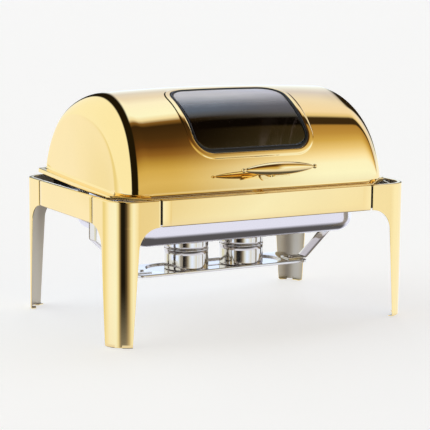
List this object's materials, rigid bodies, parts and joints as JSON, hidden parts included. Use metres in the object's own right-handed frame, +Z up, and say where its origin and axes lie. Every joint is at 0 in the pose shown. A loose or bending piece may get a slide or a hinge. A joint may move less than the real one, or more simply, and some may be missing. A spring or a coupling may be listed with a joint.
{
  "type": "roll top chafer",
  "caption": "Buffet food warmer on four pressed legs with a rolling half-cylinder lid, a window, a water pan and a shelf for fuel holders.",
  "frame": {"origin": "on the floor, at the centre of the whole footprint with the handle counted in", "axes": "+X along the length to the right as seen from the front, -Y towards the front and the handle, +Z up"},
  "size_m": [0.64, 0.4708, 0.4468],
  "materials": {
    "gold_mirror": "mirror polished gold-coloured stainless steel",
    "polished_steel": "polished stainless steel",
    "satin_steel": "satin stainless steel",
    "black_rubber": "smooth black gasket",
    "smoked_glass": "clear curved glass with a brown-grey tint"
  },
  "bodies": {
    "frame": {"leg_front_left": "gold_mirror", "screw_front_left": "satin_steel", "screw_left_front": "satin_steel", "leg_front_right": "gold_mirror", "screw_front_right": "satin_steel", "screw_right_front": "satin_steel", "leg_rear_left": "gold_mirror", "screw_rear_left": "satin_steel", "screw_left_rear": "satin_steel", "leg_rear_right": "gold_mirror", "screw_rear_right": "satin_steel", "screw_right_rear": "satin_steel", "rail_front": "gold_mirror", "rail_rear": "gold_mirror", "rail_left": "gold_mirror", "rail_right": "gold_mirror", "pan_support_ring": "satin_steel", "fuel_shelf": "polished_steel", "strap_left": "polished_steel", "front_hanger_left": "satin_steel", "shelf_rivet_left": "polished_steel", "pivot_plate_left": "satin_steel", "pivot_pin_left": "polished_steel", "pivot_clip_left": "satin_steel", "strap_right": "polished_steel", "front_hanger_right": "satin_steel", "shelf_rivet_right": "polished_steel", "pivot_plate_right": "satin_steel", "pivot_pin_right": "polished_steel", "pivot_clip_right": "satin_steel"},
    "lid": {"lid_shell": "gold_mirror", "window_gasket": "black_rubber", "window_glass": "smoked_glass", "window_retainer": "satin_steel", "handle_bar": "gold_mirror", "handle_bracket": "gold_mirror", "handle_screw_left": "satin_steel", "pivot_ear_left": "satin_steel", "pivot_bush_left": "polished_steel", "handle_screw_right": "satin_steel", "pivot_ear_right": "satin_steel", "pivot_bush_right": "polished_steel"},
    "water_pan": {"water_pan": "polished_steel"},
    "food_pan": {"food_pan": "polished_steel"},
    "fuel_holder_left": {"fuel_holder_left": "polished_steel"},
    "fuel_cover_left": {"fuel_cover_left": "polished_steel", "cover_tab_left": "polished_steel"},
    "fuel_holder_right": {"fuel_holder_right": "polished_steel"},
    "fuel_cover_right": {"fuel_cover_right": "polished_steel", "cover_tab_right": "polished_steel"}
  },
  "joints": [
    {"name": "lid_roll", "type": "hinge", "parent": "frame", "child": "lid", "pos_m": [0, 0.02, 0.254], "axis": [-1, 0, 0], "range_deg": [0, 90]},
    {"name": "water_pan_lift", "type": "slide", "parent": "frame", "child": "water_pan", "axis": [0, 0, 1], "range_m": [0, 0.04]},
    {"name": "food_pan_lift", "type": "slide", "parent": "water_pan", "child": "food_pan", "axis": [0, 0, 1], "range_m": [0, 0.03]},
    {"name": "fuel_holder_left_lift", "type": "slide", "parent": "frame", "child": "fuel_holder_left", "axis": [0, 0, 1], "range_m": [0, 0.005]},
    {"name": "fuel_cover_left_lift", "type": "slide", "parent": "fuel_holder_left", "child": "fuel_cover_left", "axis": [0, 0, 1], "range_m": [0, 0.007]},
    {"name": "fuel_holder_right_lift", "type": "slide", "parent": "frame", "child": "fuel_holder_right", "axis": [0, 0, 1], "range_m": [0, 0.005]},
    {"name": "fuel_cover_right_lift", "type": "slide", "parent": "fuel_holder_right", "child": "fuel_cover_right", "axis": [0, 0, 1], "range_m": [0, 0.007]}
  ]
}
